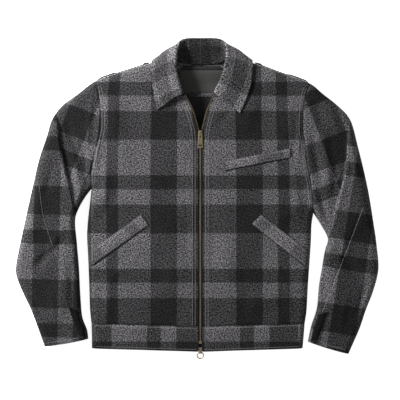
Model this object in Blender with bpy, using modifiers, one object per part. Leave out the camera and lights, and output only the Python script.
"""A short wool work jacket laid flat on its back, zipped, with its sleeves beside the body.

The script's tables are in millimetres and the model is in metres. +X is toward the wearer's left,
which is the viewer's right, +Y is toward the collar and +Z is up from the surface. The origin is on
that surface, near the middle of the back. Names with right and left are the wearer's sides.
"""
import math

import bmesh
import bpy
import numpy as np
from mathutils import Matrix, Vector
from mathutils.bvhtree import BVHTree

MM = 0.001

CLOTH = 2.5
BAND_CLOTH = 5.0
COLLAR_CLOTH = 4.0
WELT_CLOTH = 2.4
LINING_CLOTH = 1.0
TAPE_CLOTH = 1.0

SEAM_HALF_GAP = 0.3
BUTT_HALF_GAP = 0.15
RIM_HALF_GAP = 0.35
LAY_GAP = 0.4
LINING_GAP = 0.65
WELT_GAP = 0.55

ROLL_REACH = 17.0
ROLL_ANGLES = (0.0, 2.0, 26.0, 52.0, 90.0)
BAND_ROLL_ANGLES = (0.0, 2.0, 12.0, 34.0, 60.0, 90.0)
SIDE_ROWS = 6
ARMHOLE_LENGTH = 270.0
FALL_ROOM = 5.5
FALL_ROOM_Y = (258.0, 292.0)
NECK_CENTRE_X = 10.4
FALL_ROOM_HALF_WIDTH = (138.0, 106.0)

ZIP_X = 7.6
FRONT_EDGE_OFFSET = 4.8
WAIST_Y = -295.1
HEM_Y = -353.0

# Height of the laid jacket above the surface, by distance up the body.
LAID_HEIGHT = (
    # y, height
    (-370.0, 20.0),
    (-290.0, 22.0),
    (-160.0, 26.0),
    (-40.0, 28.5),
    (200.0, 28.5),
    (270.0, 27.0),
    (330.0, 26.0),
)

# Outlines, each row one turn of the edge: x, y.
SHOULDER = {
    "right": ((-57.5, 326.4), (-101.0, 312.1), (-160.0, 293.5), (-233.0, 269.1)),
    "left": ((78.2, 328.4), (124.9, 311.9), (190.0, 288.5), (260.8, 262.8)),
}
ARMHOLE = {
    "right": ((-233.0, 269.1), (-224.7, 234.8), (-220.8, 197.8), (-220.8, 159.9),
              (-228.4, 122.6), (-236.9, 87.4), (-242.7, 52.9), (-242.7, 20.7)),
    "left": ((260.8, 262.8), (248.4, 236.0), (243.3, 197.8), (242.2, 159.9),
             (247.0, 122.6), (250.7, 85.1), (260.8, 35.2), (267.5, -34.5)),
}
BODY_SIDE = {
    "right": ((-242.7, 20.7), (-246.1, -9.2), (-250.7, -50.6), (-253.0, -85.1),
              (-250.7, -133.4), (-248.4, -188.6), (-246.1, -260.0), (-243.1, -288.7)),
    "left": ((267.5, -34.5), (263.5, -60.0), (262.2, -96.6), (259.9, -133.4),
             (255.3, -202.4), (251.9, -262.0), (247.9, -288.7)),
}
BAND_SIDE = {
    "right": ((-243.1, -288.7), (-242.2, -318.0), (-242.0, -345.5)),
    "left": ((247.9, -288.7), (245.6, -318.0), (243.3, -345.5)),
}
SLEEVE_OUTER = {
    "right": ((-233.0, 269.1), (-273.7, 239.2), (-310.5, 211.6), (-333.5, 179.4),
              (-345.0, 142.6), (-363.4, 87.4), (-379.5, 18.4), (-397.9, -64.4),
              (-415.2, -147.2), (-417.2, -170.0), (-407.1, -202.4), (-381.8, -257.6),
              (-350.8, -341.6)),
    "left": ((260.8, 262.8), (289.8, 239.2), (324.3, 211.6), (349.6, 184.0),
             (370.3, 115.0), (393.3, 18.4), (404.8, -50.6), (412.9, -105.8),
             (417.2, -165.0), (404.8, -216.2), (388.7, -257.6), (374.9, -299.0),
             (348.9, -358.8)),
}
SLEEVE_INNER = {
    "right": ((-242.7, 20.7), (-255.3, 4.6), (-271.4, -23.0), (-279.8, -47.0),
              (-276.0, -105.8), (-271.4, -161.0), (-268.0, -230.0), (-263.4, -276.0),
              (-253.0, -304.0), (-250.2, -323.8)),
    "left": ((267.5, -34.5), (285.2, -62.0), (300.6, -94.0), (294.4, -119.6),
             (287.5, -161.0), (280.6, -202.4), (275.5, -255.0), (262.5, -296.0),
             (255.1, -330.7)),
}
CUFF = {
    "right": ((-350.8, -341.6), (-301.0, -334.5), (-250.2, -323.8)),
    "left": ((348.9, -358.8), (303.0, -346.5), (255.1, -330.7)),
}
FRONT_EDGE = {
    "right": ((ZIP_X - FRONT_EDGE_OFFSET, WAIST_Y), (ZIP_X - FRONT_EDGE_OFFSET, -60.0),
              (ZIP_X - FRONT_EDGE_OFFSET, 139.0), (0.0, 160.0), (-6.5, 183.0),
              (-13.0, 203.0), (-22.5, 223.0), (-31.0, 240.0)),
    "left": ((ZIP_X + FRONT_EDGE_OFFSET, WAIST_Y), (ZIP_X + FRONT_EDGE_OFFSET, -60.0),
             (ZIP_X + FRONT_EDGE_OFFSET, 139.0), (15.6, 162.0), (21.6, 187.0),
             (28.0, 207.0), (35.5, 223.0), (42.0, 240.0)),
}
FRONT_NECK = {
    "right": ((-31.0, 240.0), (-47.5, 262.0), (-56.0, 294.0), (-57.5, 326.4)),
    "left": ((42.0, 240.0), (61.0, 262.0), (74.0, 292.0), (78.2, 328.4)),
}
BACK_NECK = ((-57.5, 326.4), (-44.0, 317.5), (-22.0, 312.8), (10.4, 311.5),
             (44.0, 312.8), (65.0, 318.0), (78.2, 328.4))

# The long crease on each sleeve: the cloth outside it rolls over the cloth inside it.
SLEEVE_CREASE = {
    "right": ((-323.4, 196.9), (-317.6, 168.1), (-311.9, 120.5), (-300.4, 63.3),
              (-288.9, 19.3), (-279.5, -39.8)),
    "left": ((353.0, 180.0), (345.5, 140.0), (340.5, 72.0), (333.0, 35.0),
             (321.0, -12.0), (309.6, -66.7), (301.3, -92.0)),
}
CREASE_RISE = 3.6
CREASE_SOFTNESS = 3.0
CREASE_FADE = 46.0
CREASE_ROW_SPREAD = 4.0

# Broad soft folds of the laid cloth: a ridge when the rise is positive, a trough when it is negative.
BROAD_FOLDS = (
    # x start, y start, x end, y end, rise, half width
    (-196.0, 236.0, -168.0, 70.0, 2.4, 20.0),
    (-222.0, 20.0, -150.0, -28.0, 2.0, 18.0),
    (-214.0, -205.0, -120.0, -262.0, 1.8, 20.0),
    (214.0, 226.0, 206.0, 120.0, 2.2, 19.0),
    (244.0, -10.0, 170.0, -62.0, 2.0, 18.0),
    (214.0, -205.0, 110.0, -258.0, 1.8, 20.0),
    (-60.0, -60.0, -52.0, -270.0, 1.6, 22.0),
    (74.0, -40.0, 70.0, -270.0, 1.6, 22.0),
    (-352.0, 60.0, -385.0, -120.0, 2.2, 15.0),
    (-330.0, -96.0, -372.0, -176.0, -2.4, 12.0),
    (-305.0, -120.0, -318.0, -290.0, 2.0, 18.0),
    (362.0, 60.0, 384.0, -70.0, 2.2, 15.0),
    (330.0, -130.0, 378.0, -200.0, -2.4, 12.0),
    (318.0, -150.0, 312.0, -300.0, 2.0, 18.0),
)

# The collar's sections, from the wearer's right point round the back of the neck to the left one.
# fold is the middle of the roll line's bend, tilt the way that the bend points (180 is in toward the
# neck, 90 up, 0 out from the neck), base the neck seam, rest a point on the leaf, edge its free edge.
COLLAR_SECTIONS = (
    # fold x, y, z, tilt, base x, y, z, rest x, y, z, edge x, y, z
    (-35.0, 237.0, 33.9, 180.0, -41.5, 233.6, 32.3, -66.0, 219.0, 31.6, -91.8, 202.4, 29.0),
    (-44.0, 262.5, 33.6, 180.0, -53.0, 259.5, 32.0, -74.0, 250.0, 31.5, -98.4, 236.0, 28.6),
    (-50.6, 294.0, 33.2, 178.0, -60.0, 293.0, 31.6, -78.0, 285.0, 31.2, -103.0, 269.0, 28.4),
    (-50.0, 322.0, 30.5, 160.0, -61.0, 311.5, 30.3, -80.0, 313.5, 27.5, -103.2, 300.0, 26.6),
    (-47.0, 341.0, 24.0, 130.0, -49.5, 321.0, 21.5, -75.0, 330.5, 20.0, -99.5, 316.5, 13.0),
    (-39.5, 354.5, 15.0, 78.0, -45.0, 316.0, 13.0, -64.5, 340.0, 9.6, -82.0, 311.0, 4.5),
    (-25.0, 362.5, 9.3, 22.0, -28.0, 309.8, 9.0, -38.0, 335.0, 4.8, -46.0, 306.0, 4.7),
    (10.4, 363.7, 6.2, 0.0, 10.4, 308.0, 8.6, 10.4, 330.0, 4.4, 10.4, 297.0, 4.4),
    (46.5, 362.5, 9.5, 22.0, 49.0, 309.8, 9.2, 59.0, 335.0, 5.0, 67.0, 306.0, 4.7),
    (62.0, 354.5, 15.0, 78.0, 66.0, 317.0, 13.0, 85.0, 342.0, 9.6, 103.0, 312.0, 4.5),
    (69.0, 341.0, 24.0, 130.0, 69.5, 322.5, 21.5, 97.0, 332.0, 20.0, 122.5, 316.5, 13.0),
    (70.0, 322.0, 30.5, 160.0, 82.0, 312.0, 30.6, 101.0, 314.0, 27.5, 125.6, 300.0, 26.6),
    (64.6, 289.0, 33.2, 178.0, 77.5, 290.0, 31.6, 97.0, 279.0, 31.2, 123.5, 265.0, 28.4),
    (55.0, 262.5, 33.6, 180.0, 66.0, 259.5, 32.0, 90.0, 246.0, 31.5, 116.0, 236.5, 28.6),
    (41.0, 237.5, 33.9, 180.0, 48.5, 233.6, 32.3, 72.0, 216.0, 31.6, 98.0, 194.1, 29.0),
)
BEND_RADIUS = 1.6
BEND_STEPS = 4
STAND_STEPS = 3
LEAF_STEPS = 6
SECTION_STEPS = 2
STAND_JOIN_GAP = 0.5
STAND_LIP = 1.0
STAND_ENDS = (12, 16)

# The strips of the back's pleats that show past each shoulder: along the shoulder, depth outside it.
PLEAT_STRIP = {
    "right": ((0.30, 2.6), (0.36, 4.4), (0.38, 1.9), (0.72, 1.6), (0.76, 3.4), (0.93, 2.6),
              (0.97, 0.6)),
    "left": ((0.30, 2.6), (0.36, 4.4), (0.39, 1.9), (0.70, 1.6), (0.74, 3.4), (0.93, 2.6),
             (0.97, 0.6)),
}
PLEAT_HALF_THICKNESS = 1.2
PLEAT_ROOM = 0.5

# Welts by their corners: upper inner, lower inner, upper outer, lower outer, each x, y.
CHEST_WELT = ((62.3, 83.3), (62.3, 63.3), (211.8, 113.6), (211.8, 92.5))
HAND_WELT = {
    "right": ((-129.0, -38.6), (-111.5, -62.1), (-242.0, -119.5), (-241.0, -155.0)),
    "left": ((146.0, -37.8), (125.5, -58.6), (252.0, -120.0), (250.5, -158.0)),
}
WELT_COLUMNS = 14
WELT_ROWS = 5

# The vent strips at the cuffs, by share across the sleeve from its outer edge and along it.
CUFF_STRIP = {
    "right": {"across": (0.80, 0.95), "along": (0.82, 0.992)},
    "left": {"across": (0.80, 0.95), "along": (0.80, 0.992)},
}

# Pieces inside the neck, each by its corners' x at the top and bottom edge: y, x right, x left.
NECK_LINING = ((304.0, -32.0, 52.0), (285.0, -46.0, 66.0), (240.0, -66.0, 86.0), (140.0, -34.0, 50.0))
NECK_BINDING = ((303.0, -32.0, 52.0), (295.5, -38.0, 58.0))
NECK_LABEL = ((294.4, -40.3, 59.3), (243.4, -40.3, 59.3))
LABEL_BAND = ((242.6, -40.3, 59.3), (233.7, -40.3, 59.3))

NECK_PIECE_STEP = 7.0

# Zip: the line that the teeth follow on each side where the zip stands open, from the slider up.
TOOTH_LINE = {
    "right": ((ZIP_X - 0.35, HEM_Y + 1.0), (ZIP_X - 0.35, 141.5), (5.2, 153.0), (3.0, 160.0),
              (-3.2, 182.6), (-9.8, 203.3), (-19.6, 223.3), (-27.0, 236.0)),
    "left": ((ZIP_X + 0.35, HEM_Y + 1.0), (ZIP_X + 0.35, 141.5), (10.0, 153.0), (12.3, 162.0),
             (18.4, 186.8), (24.6, 207.0), (32.6, 223.3), (38.6, 236.0)),
}
TAPE_WIDTH = 13.0
TAPE_WIDTH_IN_BAND = 4.1
TAPE_DROP = CLOTH + LAY_GAP

SLIDER_WIDTH = 8.8
SLIDER_PLATE = 1.7
SLIDER_POST_WIDTH = 2.4
TOP_SLIDER_Y = (141.5, 154.6)
BOTTOM_SLIDER_Y = (-343.4, -357.2)
ARCH_WIDTH = 2.4
ARCH_BAR = 1.1

TAB_WIDTH = 11.6
TAB_THICKNESS = 1.5
TAB_PIVOT_Y = 151.5
TAB_END_Y = 114.3
TAB_BAR_HALF = 0.75
TAB_EYE = (4.0, 3.9)
TAB_TEARDROP = (139.0, 2.0, 5.2)
TAB_SLOT = (8.4, 118.2, 122.0)

RING_OUTER = 17.0
RING_WIRE = 2.65
RING_PIVOT_Y = -353.7

ZIP_BOX = (7.4, 5.0, 3.2)
ZIP_BOX_Y = -331.0

COLOURS = {
    # name: colour, roughness, metallic
    "wool": ((0.105, 0.102, 0.106, 1.0), 0.95, 0.0),
    "dark_wool": ((0.035, 0.034, 0.036, 1.0), 0.95, 0.0),
    "lining": ((0.012, 0.011, 0.011, 1.0), 0.6, 0.0),
    "label": ((0.05, 0.05, 0.047, 1.0), 0.7, 0.0),
    "tape": ((0.02, 0.02, 0.021, 1.0), 0.8, 0.0),
    "brass": ((0.40, 0.33, 0.20, 1.0), 0.35, 1.0),
}


class Path:
    """A smooth curve through a few turns, read by its share of length."""

    def __init__(self, rows, smooth=True, spacing=1.5):
        turns = np.array(rows, dtype=float)
        if smooth and len(turns) > 2:
            turns = smooth_curve(turns, spacing)
        self.points = turns
        steps = np.linalg.norm(np.diff(turns, axis=0), axis=1)
        self.lengths = np.concatenate(([0.0], np.cumsum(steps)))
        self.length = self.lengths[-1]

    def at(self, shares):
        """Return the points at shares 0 to 1 of the length."""
        wanted = np.asarray(shares) * self.length
        axes = [np.interp(wanted, self.lengths, self.points[:, axis])
                for axis in range(self.points.shape[1])]
        return np.stack(axes, axis=-1)

    def distance(self, points):
        """Return each point's distance in plan from the curve."""
        return self.nearest(points)[0]

    def nearest(self, points):
        """Return each point's distance from the curve, and the share of length of the nearest place."""
        flat = points.reshape(-1, 2)
        best = np.full(len(flat), np.inf)
        share = np.zeros(len(flat))
        for index in range(len(self.points) - 1):
            start = self.points[index, :2]
            span = self.points[index + 1, :2] - start
            along = np.clip((flat - start) @ span / max(span @ span, 1e-12), 0.0, 1.0)
            gap = np.linalg.norm(flat - start - along[:, None] * span, axis=1)
            closer = gap < best
            best[closer] = gap[closer]
            run = self.lengths[index + 1] - self.lengths[index]
            share[closer] = (self.lengths[index] + along[closer] * run) / self.length
        return best.reshape(points.shape[:-1]), share.reshape(points.shape[:-1])

    def shifted(self, amount):
        """Return the curve moved sideways, to the right of its run when the amount is positive."""
        run = np.gradient(self.points, axis=0)
        run /= np.linalg.norm(run, axis=1)[:, None]
        side = np.stack((run[:, 1], -run[:, 0]), axis=1)
        return Path(self.points + amount * side, smooth=False)

    def joined(self, other):
        """Return this curve followed by another."""
        return Path(np.vstack((self.points, other.points[1:])), smooth=False)

    def reversed(self):
        """Return the curve run the other way."""
        return Path(self.points[::-1], smooth=False)

    def trimmed(self, start, end):
        """Return the curve shortened by a length at each end."""
        low = start / self.length
        high = 1.0 - end / self.length
        shares = self.lengths / self.length
        kept = shares[(shares > low + 1e-6) & (shares < high - 1e-6)]
        return Path(self.at(np.concatenate(([low], kept, [high]))), smooth=False)

    def followed(self, other, gap_share=0.5):
        """Return this curve and then another, each taking its own share of the run."""
        path = Path(np.vstack((self.points, other.points)), smooth=False)
        path.lengths = np.concatenate((self.lengths / self.length * gap_share,
                                       gap_share + other.lengths / other.length * (1 - gap_share)))
        path.length = 1.0
        return path

    def between(self, start, end):
        """Return the curve with its two ends moved to the given points."""
        points = self.points.copy()
        points[0] = start
        points[-1] = end
        path = Path(points, smooth=False)
        path.lengths, path.length = self.lengths, self.length
        return path


def smooth_curve(turns, spacing):
    """Return points a spacing apart on the centripetal Catmull-Rom curve through the turns."""
    first = 2 * turns[0] - turns[1]
    last = 2 * turns[-1] - turns[-2]
    guided = np.vstack((first, turns, last))
    found = []
    for index in range(1, len(guided) - 2):
        corners = guided[index - 1:index + 3]
        knots = np.concatenate(([0.0], np.cumsum(
            np.sqrt(np.linalg.norm(np.diff(corners, axis=0), axis=1)))))
        count = max(2, int(np.linalg.norm(corners[2] - corners[1]) / spacing))
        times = np.linspace(knots[1], knots[2], count, endpoint=False)[:, None]
        found.append(blend_corners(corners, knots, times))
    return np.vstack(found + [turns[-1:]])


def blend_corners(corners, knots, times):
    """Return the Catmull-Rom points of the stretch between the two middle corners."""
    def between(first, second, start, end):
        return (first * (end - times) + second * (times - start)) / (end - start)

    outer = [between(corners[place], corners[place + 1], knots[place], knots[place + 1])
             for place in range(3)]
    inner = [between(outer[place], outer[place + 1], knots[place], knots[place + 2])
             for place in range(2)]
    return between(inner[0], inner[1], knots[1], knots[2])


def smooth_step(value, start, end):
    """Return 0 before the start and 1 after the end, with an even turn between."""
    share = np.clip((value - start) / (end - start), 0.0, 1.0)
    return share * share * (3.0 - 2.0 * share)


class Laid:
    """The form of the whole laid jacket: its fold lines, its top side and its underside."""

    def __init__(self):
        self.folds = []
        for side in ("right", "left"):
            self.folds.extend(upper_folds(side))
            for table in (BODY_SIDE, BAND_SIDE, SLEEVE_INNER):
                self.folds.append(Path(table[side]))
        self.creases = {side: Path(SLEEVE_CREASE[side]) for side in SLEEVE_CREASE}
        self.broad = [Path((row[0:2], row[2:4]), smooth=False) for row in BROAD_FOLDS]

    def rolled(self, points):
        """Return 0 at the fold lines, rising to 1 where the cloth lies level."""
        distance = np.min([fold.distance(points) for fold in self.folds], axis=0)
        inward = 1.0 - np.clip(distance / ROLL_REACH, 0.0, 1.0)
        return np.sqrt(1.0 - inward * inward)

    def relief(self, points):
        """Return the height that the creases and broad folds add to the top side."""
        total = np.zeros(points.shape[:-1])
        for path, row in zip(self.broad, BROAD_FOLDS):
            distance, share = path.nearest(points)
            total += row[4] * np.exp(-(distance / row[5]) ** 2) * np.sin(np.pi * share) ** 0.7
        for side, outward in (("right", -1.0), ("left", 1.0)):
            crease = self.creases[side]
            distance, share = crease.nearest(points)
            nearest = crease.at(share)
            outside = np.sign((points[..., 0] - nearest[..., 0]) * outward)
            rise = np.tanh(distance / CREASE_SOFTNESS) * np.exp(-distance / CREASE_FADE)
            total += outside * CREASE_RISE * rise * np.sin(np.pi * share) ** 0.5
        return total

    def top(self, points):
        """Return the height of the top side."""
        height = laid_height(points[..., 1])
        rolled = self.rolled(points)
        middle = height / 2.0
        rim = middle + RIM_HALF_GAP
        return rim + (height - rim) * rolled + self.relief(points) * rolled ** 2

    def under(self, points):
        """Return the height of the underside, raised at the neck where the collar falls below it."""
        middle = laid_height(points[..., 1]) / 2.0
        aside = np.abs(points[..., 0] - NECK_CENTRE_X)
        room = FALL_ROOM * smooth_step(points[..., 1], *FALL_ROOM_Y)
        room = room * smooth_step(-aside, -FALL_ROOM_HALF_WIDTH[0], -FALL_ROOM_HALF_WIDTH[1])
        rim = middle - RIM_HALF_GAP
        return rim - (rim - room) * self.rolled(points)


def upper_folds(side):
    """Return the shoulder's fold and the sleeve's outer fold, cut from one smooth curve."""
    whole = Path(SHOULDER[side] + SLEEVE_OUTER[side][1:])
    tip = np.linalg.norm(whole.points - SHOULDER[side][-1], axis=1).argmin()
    return Path(whole.points[:tip + 1], smooth=False), Path(whole.points[tip:], smooth=False)


def laid_height(y):
    """Return the laid jacket's height above the surface at a distance up the body."""
    rows = np.array(LAID_HEIGHT)
    return np.interp(y, rows[:, 0], rows[:, 1])


class Patch:
    """A panel between four edge curves, read by shares across (u) and along (v)."""

    def __init__(self, start, end, low, high):
        self.start = start.between(low.points[0], high.points[0])
        self.end = end.between(low.points[-1], high.points[-1])
        self.low = low
        self.high = high

    def at(self, across, along):
        """Return the plan points for matching arrays of shares."""
        across = np.asarray(across)[..., None]
        along = np.asarray(along)[..., None]
        sides = (1 - across) * self.low.at(along[..., 0]) + across * self.high.at(along[..., 0])
        ends = (1 - along) * self.start.at(across[..., 0]) + along * self.end.at(across[..., 0])
        corners = ((1 - across) * (1 - along) * self.start.at(0.0)
                   + across * (1 - along) * self.start.at(1.0)
                   + (1 - across) * along * self.end.at(0.0)
                   + across * along * self.end.at(1.0))
        return sides + ends - corners

    def grid(self, rows, columns_of_row):
        """Return the plan grid for row shares and a function that gives each row its columns."""
        across = np.array([columns_of_row(row) for row in rows])
        along = np.repeat(np.asarray(rows)[:, None], across.shape[1], axis=1)
        return self.at(across, along)

    def width(self, row):
        """Return the straight width of one row."""
        return float(np.linalg.norm(self.high.at(row) - self.low.at(row)))


def graded(length, inner, fold_at_start, fold_at_end, angles=ROLL_ANGLES):
    """Return shares of a length, set close together where the cloth rolls over a fold."""
    roll = [ROLL_REACH * (1.0 - math.cos(math.radians(angle))) / length for angle in angles]
    start = roll if fold_at_start else [0.0]
    end = [1.0 - share for share in reversed(roll)] if fold_at_end else [1.0]
    middle = np.linspace(start[-1], end[0], inner + 2)[1:-1]
    return np.concatenate((start, middle, end))


ARMHOLE_SHARES = graded(ARMHOLE_LENGTH, 5, True, True)


def make_material(kind):
    """Return the named Principled material."""
    colour, roughness, metallic = COLOURS[kind]
    material = bpy.data.materials.new(kind)
    material.use_nodes = True
    shader = material.node_tree.nodes["Principled BSDF"]
    shader.inputs["Base Color"].default_value = colour
    shader.inputs["Roughness"].default_value = roughness
    shader.inputs["Metallic"].default_value = metallic
    material.diffuse_color = colour
    return material


class Ground:
    """The faces of a panel's grid, so that what lies on the panel is made from them."""

    def __init__(self, grid):
        rows, columns = grid.shape[:2]
        faces = []
        for row in range(rows - 1):
            for column in range(columns - 1):
                corner = row * columns + column
                faces.append((corner, corner + 1, corner + columns + 1))
                faces.append((corner, corner + columns + 1, corner + columns))
        self.tree = BVHTree.FromPolygons(grid.reshape(-1, 3).tolist(), faces)

    def height(self, plan):
        """Return the panel's height below each plan point."""
        found = np.zeros(plan.shape[:-1])
        for place in np.ndindex(found.shape):
            hit = self.tree.ray_cast(Vector((*plan[place], 100.0)), Vector((0.0, 0.0, -1.0)))
            if hit[0] is None:
                raise ValueError("a point lies off its panel: " + str(plan[place]))
            found[place] = hit[0].z
        return found


class Maker:
    """Turns grids, outlines and primitives into the jacket's named solids."""

    def __init__(self):
        self.parts = bpy.data.collections.new("Wool work jacket")
        self.cutters = bpy.data.collections.new("Cutters")
        for collection in (self.parts, self.cutters):
            bpy.context.scene.collection.children.link(collection)

    def place(self, name, mesh, kind, smooth=True):
        """Put a mesh in the model as the named piece with its own material."""
        piece = bpy.data.objects.new(name, mesh)
        self.parts.objects.link(piece)
        mesh.materials.append(make_material(kind))
        if smooth:
            mesh.shade_smooth()
            mesh.set_sharp_from_angle(angle=math.radians(50.0))
        return piece

    def sheet(self, name, kind, grid, wall, facing, wall_side=-1.0, kept=None):
        """Make a wall from a grid of surface points in millimetres.

        facing is the way that the surface looks, wall_side -1 puts the wall behind it, and kept
        says which faces of the grid are made, by row and column.
        """
        rows, columns = grid.shape[:2]
        mesh = bpy.data.meshes.new(name)
        corners = [(row * columns + column, row * columns + column + 1,
                    (row + 1) * columns + column + 1, (row + 1) * columns + column)
                   for row in range(rows - 1) for column in range(columns - 1)
                   if kept is None or kept(row, column)]
        mesh.from_pydata((grid.reshape(-1, 3) * MM).tolist(), [], corners)
        looking = sum((face.normal * face.area for face in mesh.polygons), Vector())
        if looking.dot(Vector(facing)) < 0.0:
            mesh.flip_normals()
        used = {corner for face in corners for corner in face}
        if len(used) < rows * columns:
            shell = bmesh.new()
            shell.from_mesh(mesh)
            loose = [vertex for vertex in shell.verts if not vertex.link_faces]
            bmesh.ops.delete(shell, geom=loose, context="VERTS")
            shell.to_mesh(mesh)
            shell.free()
        piece = self.place(name, mesh, kind)
        solidify = piece.modifiers.new("Wall", "SOLIDIFY")
        solidify.thickness = wall * MM
        solidify.offset = wall_side
        return piece

    def box(self, name, size, centre, collection=None):
        """Return a box by its size and centre in millimetres."""
        bpy.ops.mesh.primitive_cube_add(size=1.0, location=Vector(centre) * MM)
        piece = bpy.context.object
        piece.name = name
        piece.scale = Vector(size) * MM
        bpy.ops.object.transform_apply(location=False, rotation=False, scale=True)
        for home in list(piece.users_collection):
            home.objects.unlink(piece)
        (collection or self.parts).objects.link(piece)
        return piece

    def join(self, piece, other):
        """Unite a second solid with a piece, and keep it as a hidden guide."""
        other.hide_render = True
        other.display_type = "WIRE"
        union = piece.modifiers.new("Join " + other.name, "BOOLEAN")
        union.operation = "UNION"
        union.object = other

    def finish(self, piece, kind, bevel=0.0):
        """Give a solid its material and softened edges."""
        piece.data.materials.append(make_material(kind))
        if bevel:
            rounding = piece.modifiers.new("Softened edges", "BEVEL")
            rounding.width = bevel * MM
            rounding.segments = 1
            rounding.limit_method = "ANGLE"


def lift(plan, height):
    """Return plan points with their heights."""
    return np.concatenate((plan, height[..., None]), axis=-1)


def front_patch(side):
    """Return a front's patch: waist to shoulder along, front edge to side across."""
    straight = Path(FRONT_EDGE[side][:3], smooth=False)
    opened = Path(FRONT_EDGE[side][2:])
    neck = Path(FRONT_NECK[side])
    outer = body_edge(side)
    split = BODY_SIDE[side][0][1] - WAIST_Y
    whole = straight.joined(opened).joined(neck)
    inner = whole.trimmed(BUTT_HALF_GAP, whole.length - split).followed(whole.trimmed(split, 0.0))
    waist = Path((inner.points[0], outer.points[0]), smooth=False)
    return Patch(waist, upper_folds(side)[0], inner, outer)


def body_edge(side):
    """Return a body panel's outer edge, up the side fold and the armhole seam."""
    outward = 1.0 if side == "right" else -1.0
    armhole = Path(ARMHOLE[side]).reversed().shifted(SEAM_HALF_GAP * outward)
    fold = Path(BODY_SIDE[side]).reversed().trimmed(BUTT_HALF_GAP, SEAM_HALF_GAP)
    return fold.followed(armhole)


def body_rows():
    """Return the body panels' rows: even ones up the side fold, then the armhole's own."""
    return np.concatenate((np.linspace(0.0, 0.5, SIDE_ROWS + 1)[:-1], 0.5 + 0.5 * ARMHOLE_SHARES))


def make_front(maker, laid, side):
    """Make one front from the waist seam to the shoulder."""
    patch = front_patch(side)

    def columns(row):
        return graded(patch.width(row), 7, False, True)

    plan = patch.grid(body_rows(), columns)
    grid = lift(plan, laid.top(plan))
    maker.sheet("front_" + side, "wool", grid, CLOTH, (0, 0, 1))
    return Ground(grid)


def make_back(maker, laid):
    """Make the back from the waist seam to the neck seam and the shoulders."""
    outer = {side: body_edge(side) for side in ("right", "left")}
    waist = Path((outer["right"].points[0], (ZIP_X, WAIST_Y + BUTT_HALF_GAP),
                  outer["left"].points[0]))
    right_shoulder = upper_folds("right")[0].reversed()
    neck = Path(BACK_NECK)
    top = right_shoulder.joined(neck).joined(upper_folds("left")[0])
    patch = Patch(waist, top, outer["right"], outer["left"])
    neck_start = right_shoulder.length / top.length
    neck_end = (right_shoulder.length + neck.length) / top.length

    def columns(row):
        edges = graded(patch.width(row), 0, True, True)
        half = len(ROLL_ANGLES)
        right = np.linspace(edges[half - 1], neck_start, 5)[1:-1]
        middle = np.linspace(neck_start, neck_end, 8)
        left = np.linspace(neck_end, edges[half], 5)[1:-1]
        return np.concatenate((edges[:half], right, middle, left, edges[half:]))

    plan = patch.grid(body_rows(), columns)
    grid = lift(plan, laid.under(plan))
    maker.sheet("back", "wool", grid, CLOTH, (0, 0, -1))
    return Ground(grid)


class SleevePlan:
    """A sleeve's plan in two lengths, armhole to crease and crease to cuff, parted on the crease."""

    split = 0.24

    def __init__(self, side):
        outward = -1.0 if side == "right" else 1.0
        armhole = Path(ARMHOLE[side]).shifted(-SEAM_HALF_GAP * outward)
        outer = upper_folds(side)[1].trimmed(SEAM_HALF_GAP, 0.0)
        inner = Path(SLEEVE_INNER[side]).trimmed(SEAM_HALF_GAP, 0.0)
        crease = Path(SLEEVE_CREASE[side])
        outer_cut = float(outer.nearest(crease.points[0][None])[1][0]) * outer.length
        inner_cut = float(inner.nearest(crease.points[-1][None])[1][0]) * inner.length
        self.upper = Patch(armhole, crease, outer.trimmed(0.0, outer.length - outer_cut),
                           inner.trimmed(0.0, inner.length - inner_cut))
        self.lower = Patch(crease, Path(CUFF[side]), outer.trimmed(outer_cut, 0.0),
                           inner.trimmed(inner_cut, 0.0))

    def at(self, across, along):
        """Return the plan points for matching arrays of shares."""
        across, along = np.asarray(across), np.asarray(along)
        upper = self.upper.at(across, np.clip(along / self.split, 0.0, 1.0))
        lower = self.lower.at(across, np.clip((along - self.split) / (1 - self.split), 0.0, 1.0))
        return np.where((along < self.split)[..., None], upper, lower)

    def rows(self):
        """Return the shares along the sleeve, close together at the armhole and at the crease."""
        step = self.split * CREASE_ROW_SPREAD / 90.0
        upper = np.linspace(0.02, self.split - step, 5)
        lower = np.linspace(self.split + step, 1.0, 12)
        return np.concatenate(([0.0], upper, [self.split], lower))

    def grid(self):
        """Return the sleeve's plan grid."""
        rows = self.rows()
        columns = []
        for row in rows:
            ends = self.at(np.array((0.0, 1.0)), np.full(2, row))
            width = float(np.linalg.norm(ends[1] - ends[0]))
            columns.append(ARMHOLE_SHARES if row == 0.0 else graded(width, 5, True, True))
        across = np.array(columns)
        return self.at(across, np.repeat(rows[:, None], across.shape[1], axis=1))


def make_sleeve(maker, laid, side):
    """Make one sleeve: the wall that shows on top and the wall beneath it."""
    plan = SleevePlan(side).grid()
    top = lift(plan, laid.top(plan))
    maker.sheet("sleeve_top_" + side, "wool", top, CLOTH, (0, 0, 1))
    under = lift(plan, laid.under(plan))
    maker.sheet("sleeve_under_" + side, "wool", under, CLOTH, (0, 0, -1))
    return Ground(top)


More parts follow.
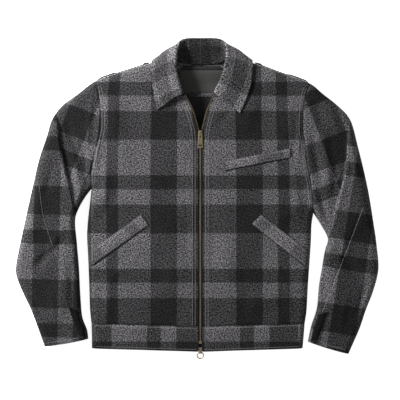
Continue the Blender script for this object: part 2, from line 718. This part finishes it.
def make_waistband(maker, laid):
    """Make the doubled waistband in three lengths: two fronts and a back."""
    hem_ends = {side: np.array(BAND_SIDE[side][-1]) for side in BAND_SIDE}
    for side in ("right", "left"):
        edge_x = FRONT_EDGE[side][0][0]
        outer = Path(BAND_SIDE[side]).trimmed(BUTT_HALF_GAP, 0.0)
        inner = Path(((edge_x, WAIST_Y - BUTT_HALF_GAP), (edge_x, HEM_Y)), smooth=False)
        seam = Path((inner.points[0], outer.points[0]), smooth=False)
        hem = Path(((edge_x, HEM_Y), hem_ends[side]), smooth=False)
        patch = Patch(seam, hem, inner, outer)

        def columns(row, patch=patch):
            return graded(patch.width(row), 6, False, True, BAND_ROLL_ANGLES)

        plan = patch.grid(np.linspace(0.0, 1.0, 4), columns)
        grid = lift(plan, laid.top(plan))
        maker.sheet("waistband_" + side, "wool", grid, BAND_CLOTH, (0, 0, 1))
    sides = {side: Path(BAND_SIDE[side]).trimmed(BUTT_HALF_GAP, 0.0) for side in BAND_SIDE}
    seam = Path((sides["right"].points[0], (ZIP_X, WAIST_Y - BUTT_HALF_GAP),
                 sides["left"].points[0]))
    hem = Path((hem_ends["right"], (ZIP_X, HEM_Y), hem_ends["left"]))
    patch = Patch(seam, hem, sides["right"], sides["left"])

    def back_columns(row):
        return graded(patch.width(row), 11, True, True, BAND_ROLL_ANGLES)

    plan = patch.grid(np.linspace(0.0, 1.0, 4), back_columns)
    grid = lift(plan, laid.under(plan))
    maker.sheet("waistband_back", "wool", grid, BAND_CLOTH, (0, 0, -1))


def collar_section(row, outward):
    """Return one collar section's inner-side points, from the neck seam over the bend to the edge."""
    fold = np.array(row[0:3])
    tilt = math.radians(row[3])
    base, rest, edge = (np.array(row[start:start + 3]) for start in (4, 7, 10))
    pointing = math.cos(tilt) * outward + math.sin(tilt) * np.array((0.0, 0.0, 1.0))
    rising = -math.sin(tilt) * outward + math.cos(tilt) * np.array((0.0, 0.0, 1.0))
    bend = []
    for step in range(BEND_STEPS + 1):
        turn = math.pi / 2 - math.pi * step / BEND_STEPS
        bend.append(fold + BEND_RADIUS * (math.cos(turn) * pointing + math.sin(turn) * rising))
    stand = bezier(base, bend[0] - pointing * 0.45 * np.linalg.norm(bend[0] - base), bend[0],
                   STAND_STEPS)
    reach = np.linalg.norm(rest - bend[-1])
    first = bezier(bend[-1], bend[-1] - pointing * 0.5 * reach, rest, LEAF_STEPS // 2)
    onward = rest + (rest - first[-2]) / np.linalg.norm(rest - first[-2]) * (
        0.5 * np.linalg.norm(edge - rest))
    second = bezier(rest, onward, edge, LEAF_STEPS - LEAF_STEPS // 2)
    return np.array(stand[:-1] + bend + first[1:] + second[1:])


def bezier(start, pull, end, steps):
    """Return points along a quadratic curve."""
    shares = np.linspace(0.0, 1.0, steps + 1)
    return [(1 - t) ** 2 * start + 2 * t * (1 - t) * pull + t ** 2 * end for t in shares]


def make_collar(maker):
    """Make the collar from one run of sections, and the back of its stand parted at the seam."""
    table = np.array(COLLAR_SECTIONS)
    rows = []
    for index in range(len(table) - 1):
        corners = table[[max(index - 1, 0), index, index + 1, min(index + 2, len(table) - 1)]]
        for step in range(SECTION_STEPS):
            rows.append(even_blend(corners, step / SECTION_STEPS))
    rows.append(table[-1])
    rows = np.array(rows)
    run = np.gradient(rows[:, :2], axis=0)
    run /= np.linalg.norm(run, axis=1)[:, None]
    outward = np.stack((-run[:, 1], run[:, 0], np.zeros(len(run))), axis=1)
    grid = np.array([collar_section(row, way) for row, way in zip(rows, outward)])
    seam_start, seam_end = grid[:, STAND_STEPS - 2], grid[:, STAND_STEPS - 1]
    across = seam_end - seam_start
    half_gap = across / np.linalg.norm(across, axis=-1)[:, None] * STAND_JOIN_GAP / 2
    lip = half_gap / (STAND_JOIN_GAP / 2) * STAND_LIP
    seam = (seam_start + seam_end) / 2
    grid = np.concatenate((grid[:, :STAND_STEPS - 1],
                           np.stack((seam - lip, seam - half_gap, seam + half_gap, seam + lip), axis=1),
                           grid[:, STAND_STEPS - 1:]), axis=1)
    first, last = STAND_ENDS
    grid = np.concatenate((grid[:first + 1], step_toward(grid[first], grid[first + 1])[None],
                           grid[first + 1:last], step_toward(grid[last], grid[last - 1])[None],
                           grid[last:]), axis=0)
    seam_column = STAND_STEPS
    maker.sheet("collar_stand", "wool", grid[first + 1:last + 2, :seam_column + 1], COLLAR_CLOTH,
                (0, 0, 1), 1.0)

    def beside_stand(row, column):
        return column > seam_column or not first <= row <= last + 1

    maker.sheet("collar", "wool", grid, COLLAR_CLOTH, (0, 0, 1), 1.0, beside_stand)


def step_toward(section, neighbour):
    """Return a section moved toward its neighbour by the gap that parts two pieces."""
    across = neighbour - section
    return section + across / np.linalg.norm(across, axis=-1)[:, None] * STAND_JOIN_GAP


def even_blend(corners, share):
    """Return the uniform Catmull-Rom blend of four rows."""
    before, start, end, after = corners
    return 0.5 * (2 * start + (end - before) * share
                  + (2 * before - 5 * start + 4 * end - after) * share ** 2
                  + (3 * start - before - 3 * end + after) * share ** 3)


def make_pleat_strip(maker, side):
    """Make the strip of a back pleat that shows past the shoulder's fold."""
    shoulder = upper_folds(side)[0]
    away = -1.0 if side == "left" else 1.0
    table = np.array(PLEAT_STRIP[side])
    shares = np.unique(np.concatenate((table[:, 0], np.linspace(table[0, 0], table[-1, 0], 12))))
    reach = np.interp(shares, table[:, 0], table[:, 1])
    inner = shoulder.shifted(away * PLEAT_ROOM).at(shares)
    outer = np.array([shoulder.shifted(away * (PLEAT_ROOM + depth)).at(share)
                      for share, depth in zip(shares, reach)])
    plan = np.stack((inner, outer), axis=0)
    height = laid_height(plan[..., 1]) / 2.0 + PLEAT_HALF_THICKNESS
    maker.sheet("back_pleat_" + side, "dark_wool", lift(plan, height),
                2.0 * PLEAT_HALF_THICKNESS, (0, 0, 1))


def corner_grid(corners, columns, rows):
    """Return the plan grid between four corners: upper and lower inner, upper and lower outer."""
    upper_in, lower_in, upper_out, lower_out = (np.array(corner) for corner in corners)
    across = np.sin(np.linspace(0.0, math.pi / 2, columns))[None, :, None]
    down = np.linspace(0.0, 1.0, rows)[:, None, None]
    upper = upper_in + (upper_out - upper_in) * across
    lower = lower_in + (lower_out - lower_in) * across
    return upper + (lower - upper) * down


def make_welt(maker, ground, name, corners):
    """Make a pocket's doubled welt, lying on its front."""
    plan = corner_grid(corners, WELT_COLUMNS, WELT_ROWS)
    grid = lift(plan, ground.height(plan) + WELT_GAP)
    maker.sheet(name, "wool", grid, WELT_CLOTH, (0, 0, 1), 1.0)


def make_cuff_strip(maker, ground, side):
    """Make the vent strip that lies on a sleeve by its cuff."""
    shares = CUFF_STRIP[side]
    across, along = np.meshgrid(np.linspace(*shares["across"], 9), np.linspace(*shares["along"], 6))
    plan = SleevePlan(side).at(across, along)
    grid = lift(plan, ground.height(plan) + WELT_GAP)
    maker.sheet("cuff_strip_" + side, "wool", grid, WELT_CLOTH, (0, 0, 1), 1.0)


def make_neck_pieces(maker, ground):
    """Make the lining that shows in the neck, with the binding, label and band that lie on it."""
    stack = (
        ("back_lining", "lining", NECK_LINING, 6, LINING_GAP),
        ("neck_binding", "lining", NECK_BINDING, 6, LINING_GAP + LAY_GAP + LINING_CLOTH),
        ("neck_label", "label", NECK_LABEL, 6, LINING_GAP + LAY_GAP + LINING_CLOTH),
        ("label_band", "wool", LABEL_BAND, 4, LINING_GAP + LAY_GAP + LINING_CLOTH),
    )
    for name, kind, table, columns, gap in stack:
        turns = []
        for (low_y, low_right, low_left), (high_y, high_right, high_left) in zip(table, table[1:]):
            steps = max(2, int(abs(low_y - high_y) / NECK_PIECE_STEP))
            for step in range(steps):
                share = step / steps
                turns.append((low_y + (high_y - low_y) * share,
                              low_right + (high_right - low_right) * share,
                              low_left + (high_left - low_left) * share))
        turns.append(table[-1])
        plan = np.array([[(right + (left - right) * column / columns, y)
                          for column in range(columns + 1)] for y, right, left in turns])
        grid = lift(plan, ground.height(plan) + CLOTH + gap)
        maker.sheet(name, kind, grid, LINING_CLOTH, (0, 0, 1), 1.0)


def make_tapes(maker):
    """Make the zip's two tapes, each under its front's edge and let into the waistband's end."""
    for side, away in (("right", -1.0), ("left", 1.0)):
        line = Path(TOOTH_LINE[side][:2], smooth=False).joined(Path(TOOTH_LINE[side][1:]))
        waist_share = (WAIST_Y + BUTT_HALF_GAP - TOOTH_LINE[side][0][1]) / line.length
        shares = np.concatenate((np.linspace(0.0, waist_share, 3),
                                 [waist_share + 1.0 / line.length],
                                 np.linspace(waist_share, 1.0, 22)[1:]))
        inner = line.at(shares)
        width = np.where(shares <= waist_share, TAPE_WIDTH_IN_BAND, TAPE_WIDTH)
        run = np.gradient(inner, axis=0)
        run /= np.linalg.norm(run, axis=1)[:, None]
        outward = np.stack((run[:, 1], -run[:, 0]), axis=1) * (1.0 if side == "left" else -1.0)
        outer = inner + outward * width[:, None]
        plan = np.stack((inner, outer), axis=1)
        height = laid_height(plan[..., 1]) - TAPE_DROP
        maker.sheet("zip_tape_" + side, "tape", lift(plan, height), TAPE_CLOTH, (0, 0, 1))


def make_slider(maker, name, span, post_end, pivot_y):
    """Make a slider: two plates round the tapes, the post that joins them and the pull's arch."""
    low, high = min(span), max(span)
    middle = (low + high) / 2.0
    height = float(laid_height(middle))
    top_plate = height - TAPE_DROP + LAY_GAP
    under_plate = height - TAPE_DROP - TAPE_CLOTH - LAY_GAP
    length = high - low
    body = maker.box(name, (SLIDER_WIDTH, length, SLIDER_PLATE),
                     (ZIP_X, middle, top_plate + SLIDER_PLATE / 2))
    lower = maker.box(name + "_under_plate", (SLIDER_WIDTH, length, SLIDER_PLATE),
                      (ZIP_X, middle, under_plate - SLIDER_PLATE / 2), maker.cutters)
    post_height = top_plate - under_plate + SLIDER_PLATE
    post = maker.box(name + "_post", (SLIDER_POST_WIDTH, 2.2, post_height),
                     (ZIP_X, post_end, (top_plate + under_plate) / 2), maker.cutters)
    maker.join(body, lower)
    maker.join(body, post)
    plate_top = top_plate + SLIDER_PLATE
    return body, plate_top, pivot_y


def add_arch(maker, body, plate_top, pivot_y, bar_half, pivot_z):
    """Add the arch that holds a pull's bar, with a leg on each side of the bar and a bar over it."""
    clear = bar_half + 0.45
    beam_low = pivot_z + bar_half + 0.4
    for index, way in enumerate((-1.0, 1.0)):
        leg_height = beam_low + ARCH_BAR - plate_top + 0.4
        leg = maker.box(body.name + "_leg_" + str(index), (ARCH_WIDTH, ARCH_BAR, leg_height),
                        (ZIP_X, pivot_y + way * (clear + ARCH_BAR / 2),
                         plate_top - 0.4 + leg_height / 2), maker.cutters)
        maker.join(body, leg)
    beam = maker.box(body.name + "_beam", (ARCH_WIDTH, 2 * (clear + ARCH_BAR) - 0.2, ARCH_BAR),
                     (ZIP_X, pivot_y, beam_low + ARCH_BAR / 2 - 0.05), maker.cutters)
    maker.join(body, beam)


def outline_curve(maker, name, loops, thickness, location):
    """Return a flat plate from closed loops of points, the later loops being holes."""
    curve = bpy.data.curves.new(name, "CURVE")
    curve.dimensions = "2D"
    curve.fill_mode = "BOTH"
    curve.extrude = thickness / 2 * MM
    for loop in loops:
        spline = curve.splines.new("POLY")
        spline.points.add(len(loop) - 1)
        for point, (x, y) in zip(spline.points, loop):
            point.co = (x * MM, y * MM, 0.0, 1.0)
        spline.use_cyclic_u = True
    piece = bpy.data.objects.new(name, curve)
    piece.location = Vector(location) * MM
    maker.parts.objects.link(piece)
    return piece


def arc(centre, radius, start, end, steps):
    """Return points along an arc, angles in degrees."""
    return [(centre[0] + radius * math.cos(math.radians(start + (end - start) * step / steps)),
             centre[1] + radius * math.sin(math.radians(start + (end - start) * step / steps)))
            for step in range(steps + 1)]


def make_pull_tab(maker, pivot_z):
    """Make the top slider's flat pull, hung by its upper bar, with a teardrop and a slot cut in it."""
    half = TAB_WIDTH / 2
    top = TAB_BAR_HALF
    low = TAB_END_Y - TAB_PIVOT_Y
    shoulder = low * 0.16
    corner = 1.6
    outline = (arc((half * 0.74 - corner, top - corner), corner, 90, 20, 3)
               + [(half * 0.8, shoulder)]
               + arc((half - corner, low + corner), corner, 0, -90, 3)
               + arc((-half + corner, low + corner), corner, 270, 180, 3)
               + [(-half * 0.8, shoulder)]
               + arc((-half * 0.74 + corner, top - corner), corner, 160, 90, 3))
    eye_half = TAB_EYE[0] / 2
    eye = [(eye_half, -TAB_BAR_HALF), (-eye_half, -TAB_BAR_HALF),
           (-eye_half, -TAB_EYE[1]), (eye_half, -TAB_EYE[1])]
    drop_y, drop_radius, drop_tail = TAB_TEARDROP
    drop_y -= TAB_PIVOT_Y
    teardrop = arc((0.0, drop_y), drop_radius, 0, -180, 8) + [(-0.5, drop_y + drop_tail),
                                                             (0.5, drop_y + drop_tail)]
    slot_width, slot_low, slot_high = TAB_SLOT
    slot = [(slot_width / 2, slot_low - TAB_PIVOT_Y), (slot_width / 2, slot_high - TAB_PIVOT_Y),
            (-slot_width / 2, slot_high - TAB_PIVOT_Y), (-slot_width / 2, slot_low - TAB_PIVOT_Y)]
    piece = outline_curve(maker, "pull_tab", (outline, eye, teardrop, slot), TAB_THICKNESS,
                          (ZIP_X, TAB_PIVOT_Y, pivot_z))
    piece.data.materials.append(make_material("brass"))


def make_ring(maker, pivot_z):
    """Make the bottom slider's round ring, its origin on the hinge line through its upper wire."""
    radius = (RING_OUTER - RING_WIRE) / 2
    bpy.ops.mesh.primitive_torus_add(
        major_radius=radius * MM, minor_radius=RING_WIRE / 2 * MM, major_segments=28,
        minor_segments=10, location=(ZIP_X * MM, (RING_PIVOT_Y - radius) * MM, pivot_z * MM))
    ring = bpy.context.object
    ring.name = "ring_pull"
    for home in list(ring.users_collection):
        home.objects.unlink(ring)
    maker.parts.objects.link(ring)
    ring.data.transform(Matrix.Translation((0.0, -radius * MM, 0.0)))
    ring.location.y = RING_PIVOT_Y * MM
    ring.data.shade_smooth()
    ring.data.materials.append(make_material("brass"))


def make_zip_hardware(maker):
    """Make the two sliders, the pull tab, the ring and the box at the foot of the zip."""
    body, plate_top, pivot_y = make_slider(maker, "top_slider", TOP_SLIDER_Y,
                                           TOP_SLIDER_Y[1] - 1.4, TAB_PIVOT_Y)
    tab_z = float(laid_height(TAB_PIVOT_Y)) + LAY_GAP + TAB_THICKNESS / 2
    add_arch(maker, body, plate_top, pivot_y, TAB_BAR_HALF, tab_z)
    maker.finish(body, "brass")
    make_pull_tab(maker, tab_z)

    body, plate_top, pivot_y = make_slider(maker, "bottom_slider", BOTTOM_SLIDER_Y,
                                           HEM_Y - 0.9, RING_PIVOT_Y)
    ring_z = plate_top + LAY_GAP + RING_WIRE / 2
    add_arch(maker, body, plate_top, pivot_y, RING_WIRE / 2, ring_z)
    maker.finish(body, "brass")
    make_ring(maker, ring_z)

    tape_top = float(laid_height(ZIP_BOX_Y)) - TAPE_DROP
    retainer = maker.box("zip_retainer", ZIP_BOX,
                         (ZIP_X, ZIP_BOX_Y, tape_top + LAY_GAP + ZIP_BOX[2] / 2))
    maker.finish(retainer, "brass", bevel=0.6)


def clear_scene():
    """Remove what the scene holds."""
    for piece in list(bpy.data.objects):
        bpy.data.objects.remove(piece, do_unlink=True)


def build():
    """Make every piece of the jacket."""
    clear_scene()
    maker = Maker()
    laid = Laid()
    make_neck_pieces(maker, make_back(maker, laid))
    for side in ("right", "left"):
        front = make_front(maker, laid, side)
        make_welt(maker, front, "hand_welt_" + side, HAND_WELT[side])
        if side == "left":
            make_welt(maker, front, "chest_welt", CHEST_WELT)
        make_cuff_strip(maker, make_sleeve(maker, laid, side), side)
        make_pleat_strip(maker, side)
    make_waistband(maker, laid)
    make_collar(maker)
    make_tapes(maker)
    make_zip_hardware(maker)


build()
